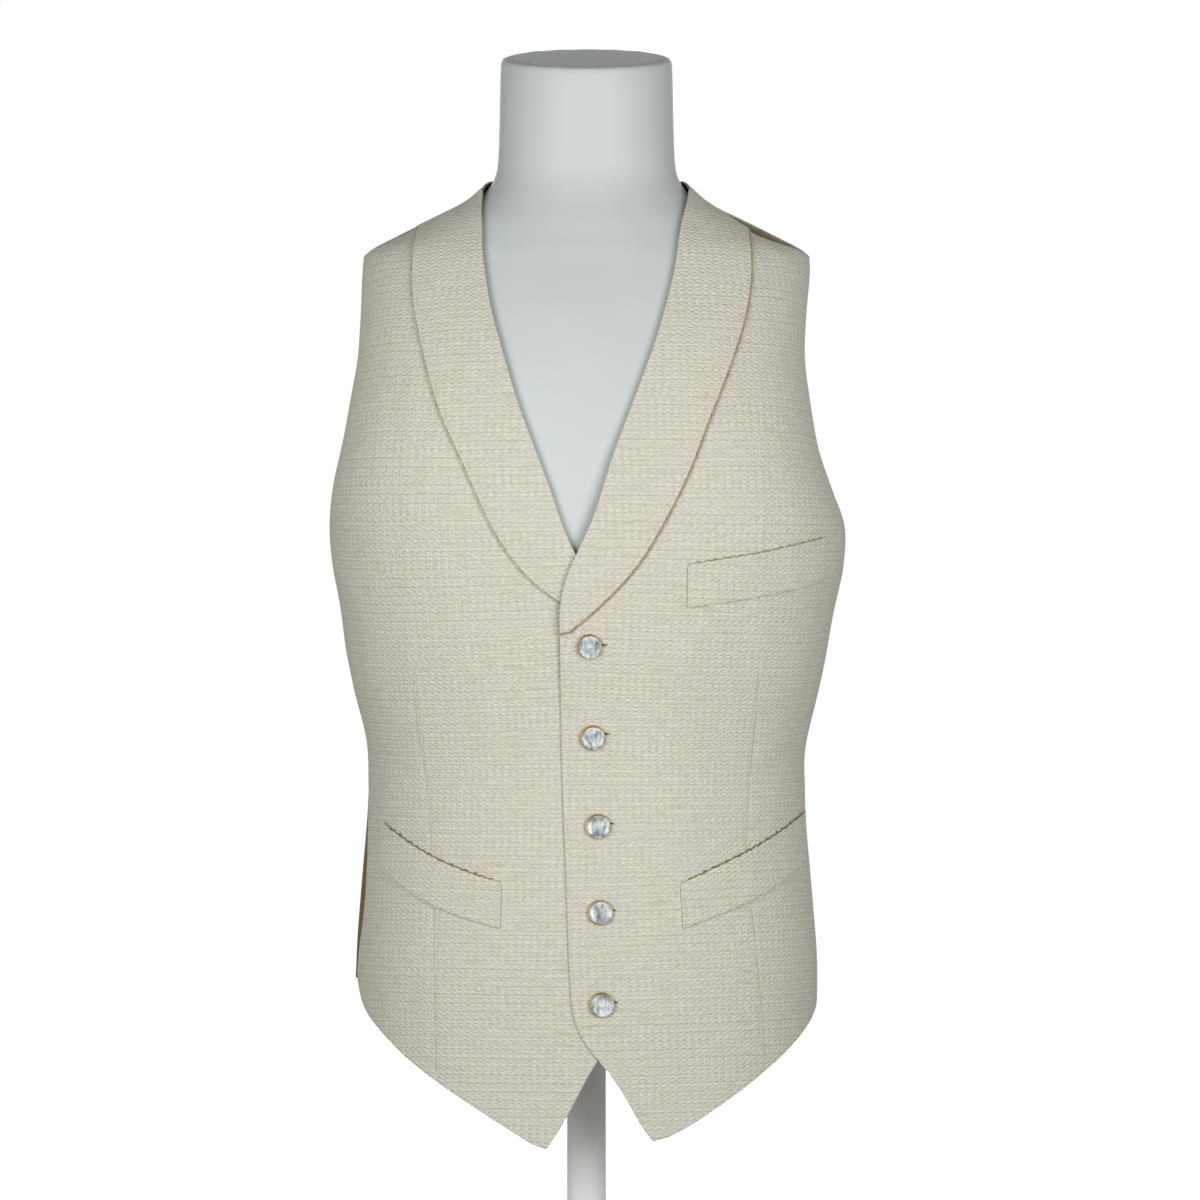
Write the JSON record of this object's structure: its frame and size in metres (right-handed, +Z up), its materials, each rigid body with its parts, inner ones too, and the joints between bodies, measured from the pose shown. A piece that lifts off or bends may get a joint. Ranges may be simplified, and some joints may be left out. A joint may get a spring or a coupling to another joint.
{
  "type": "suit waistcoat on a dress form",
  "caption": "Single-breasted shawl-collar waistcoat in textured ivory cloth with a satin back, on an armless dress form and a low round stand.",
  "frame": {"origin": "centre of the stand base's underside", "axes": "+Z up, the waistcoat's front faces -Y, the wearer's left is +X"},
  "size_m": [0.3286, 0.28, 0.774],
  "materials": {
    "suiting": "textured ivory weave with raised cells and slubby yarns",
    "satin": "golden-tan satin",
    "pearl": "pearl face in a thin golden rim",
    "form": "smooth pale grey, slightly satin",
    "coat": "white powder coat"
  },
  "bodies": {
    "root": {"front_left": "suiting", "front_right": "suiting", "shawl_collar_left": "suiting", "shawl_collar_right": "suiting", "breast_welt": "suiting", "pocket_welt_left": "suiting", "pocket_welt_right": "suiting", "back_left": "satin", "back_right": "satin", "button_1": "pearl", "button_2": "pearl", "button_3": "pearl", "button_4": "pearl", "button_5": "pearl", "dress_form": "form", "stand_pole": "coat", "stand_base": "coat"}
  },
  "joints": []
}
